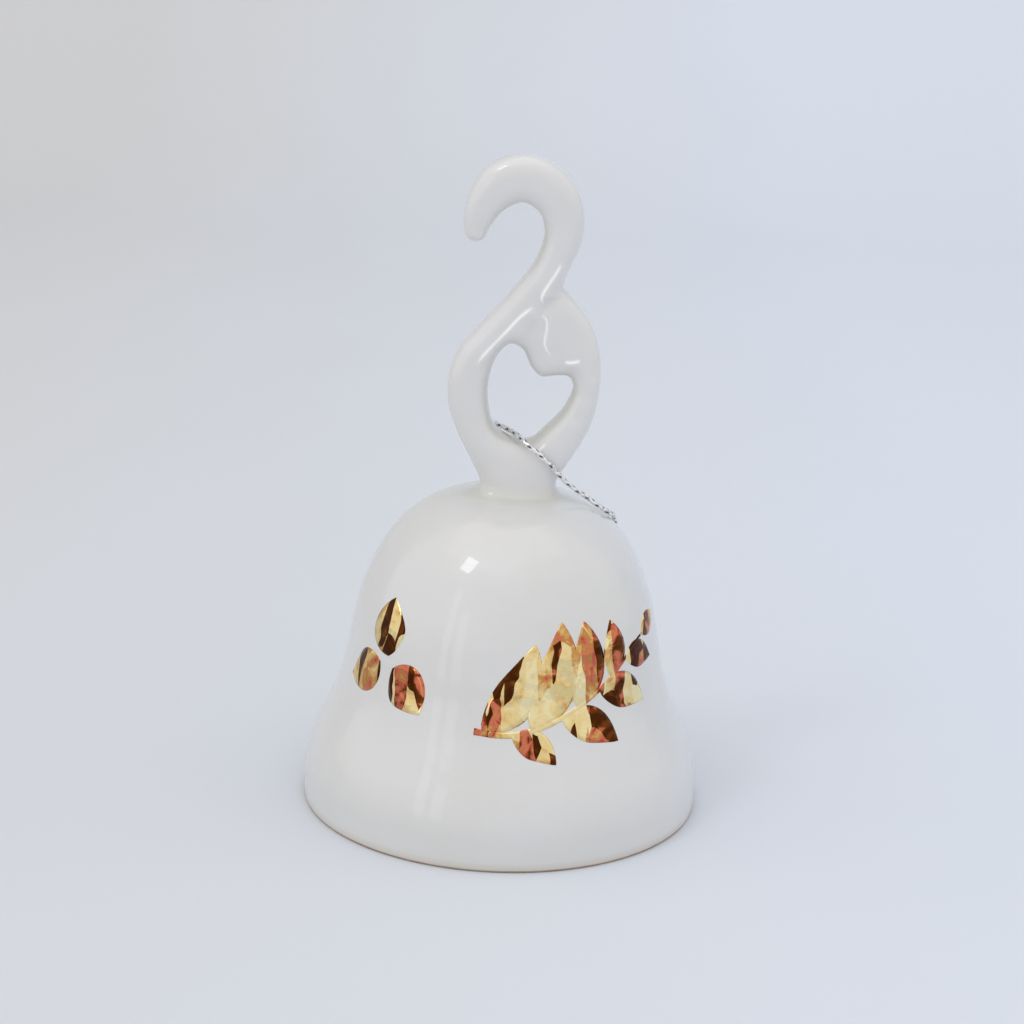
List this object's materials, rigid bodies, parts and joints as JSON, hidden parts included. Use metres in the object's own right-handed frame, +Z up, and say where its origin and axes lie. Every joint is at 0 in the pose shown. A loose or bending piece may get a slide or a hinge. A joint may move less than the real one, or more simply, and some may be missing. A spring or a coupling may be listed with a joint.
{
  "type": "porcelain bell",
  "caption": "Porcelain hand bell with a hook-and-loop handle, a wire-hung porcelain clapper inside and a knotted silver cord through the loop.",
  "frame": {"origin": "centre of the foot ring, on the surface that the bell stands on", "axes": "+Z up along the bell's axis to the hook, +X to the right in the plane of the handle, -Y to the front"},
  "size_m": [0.09, 0.09, 0.148],
  "materials": {
    "porcelain": "polished",
    "clapper_metal": "satin",
    "silver_cord": "satin",
    "gold_lustre": "polished"
  },
  "bodies": {
    "bell": {"bell_shell": "porcelain", "handle": "porcelain", "clapper_lug": "porcelain", "hanging_cord": "silver_cord", "cord_knot": "silver_cord"},
    "link": {"clapper_link": "clapper_metal"},
    "clapper": {"clapper_wire": "clapper_metal", "clapper_ball": "porcelain", "clapper_stop": "clapper_metal"}
  },
  "joints": [
    {"name": "clapper_swing", "type": "hinge", "parent": "bell", "child": "link", "pos_m": [0, 0, 0.0615], "axis": [0, 1, 0], "range_deg": [-34, 34]},
    {"name": "clapper_sway", "type": "hinge", "parent": "link", "child": "clapper", "pos_m": [0, 0, 0.05265], "axis": [1, 0, 0], "range_deg": [-9, 9]}
  ]
}
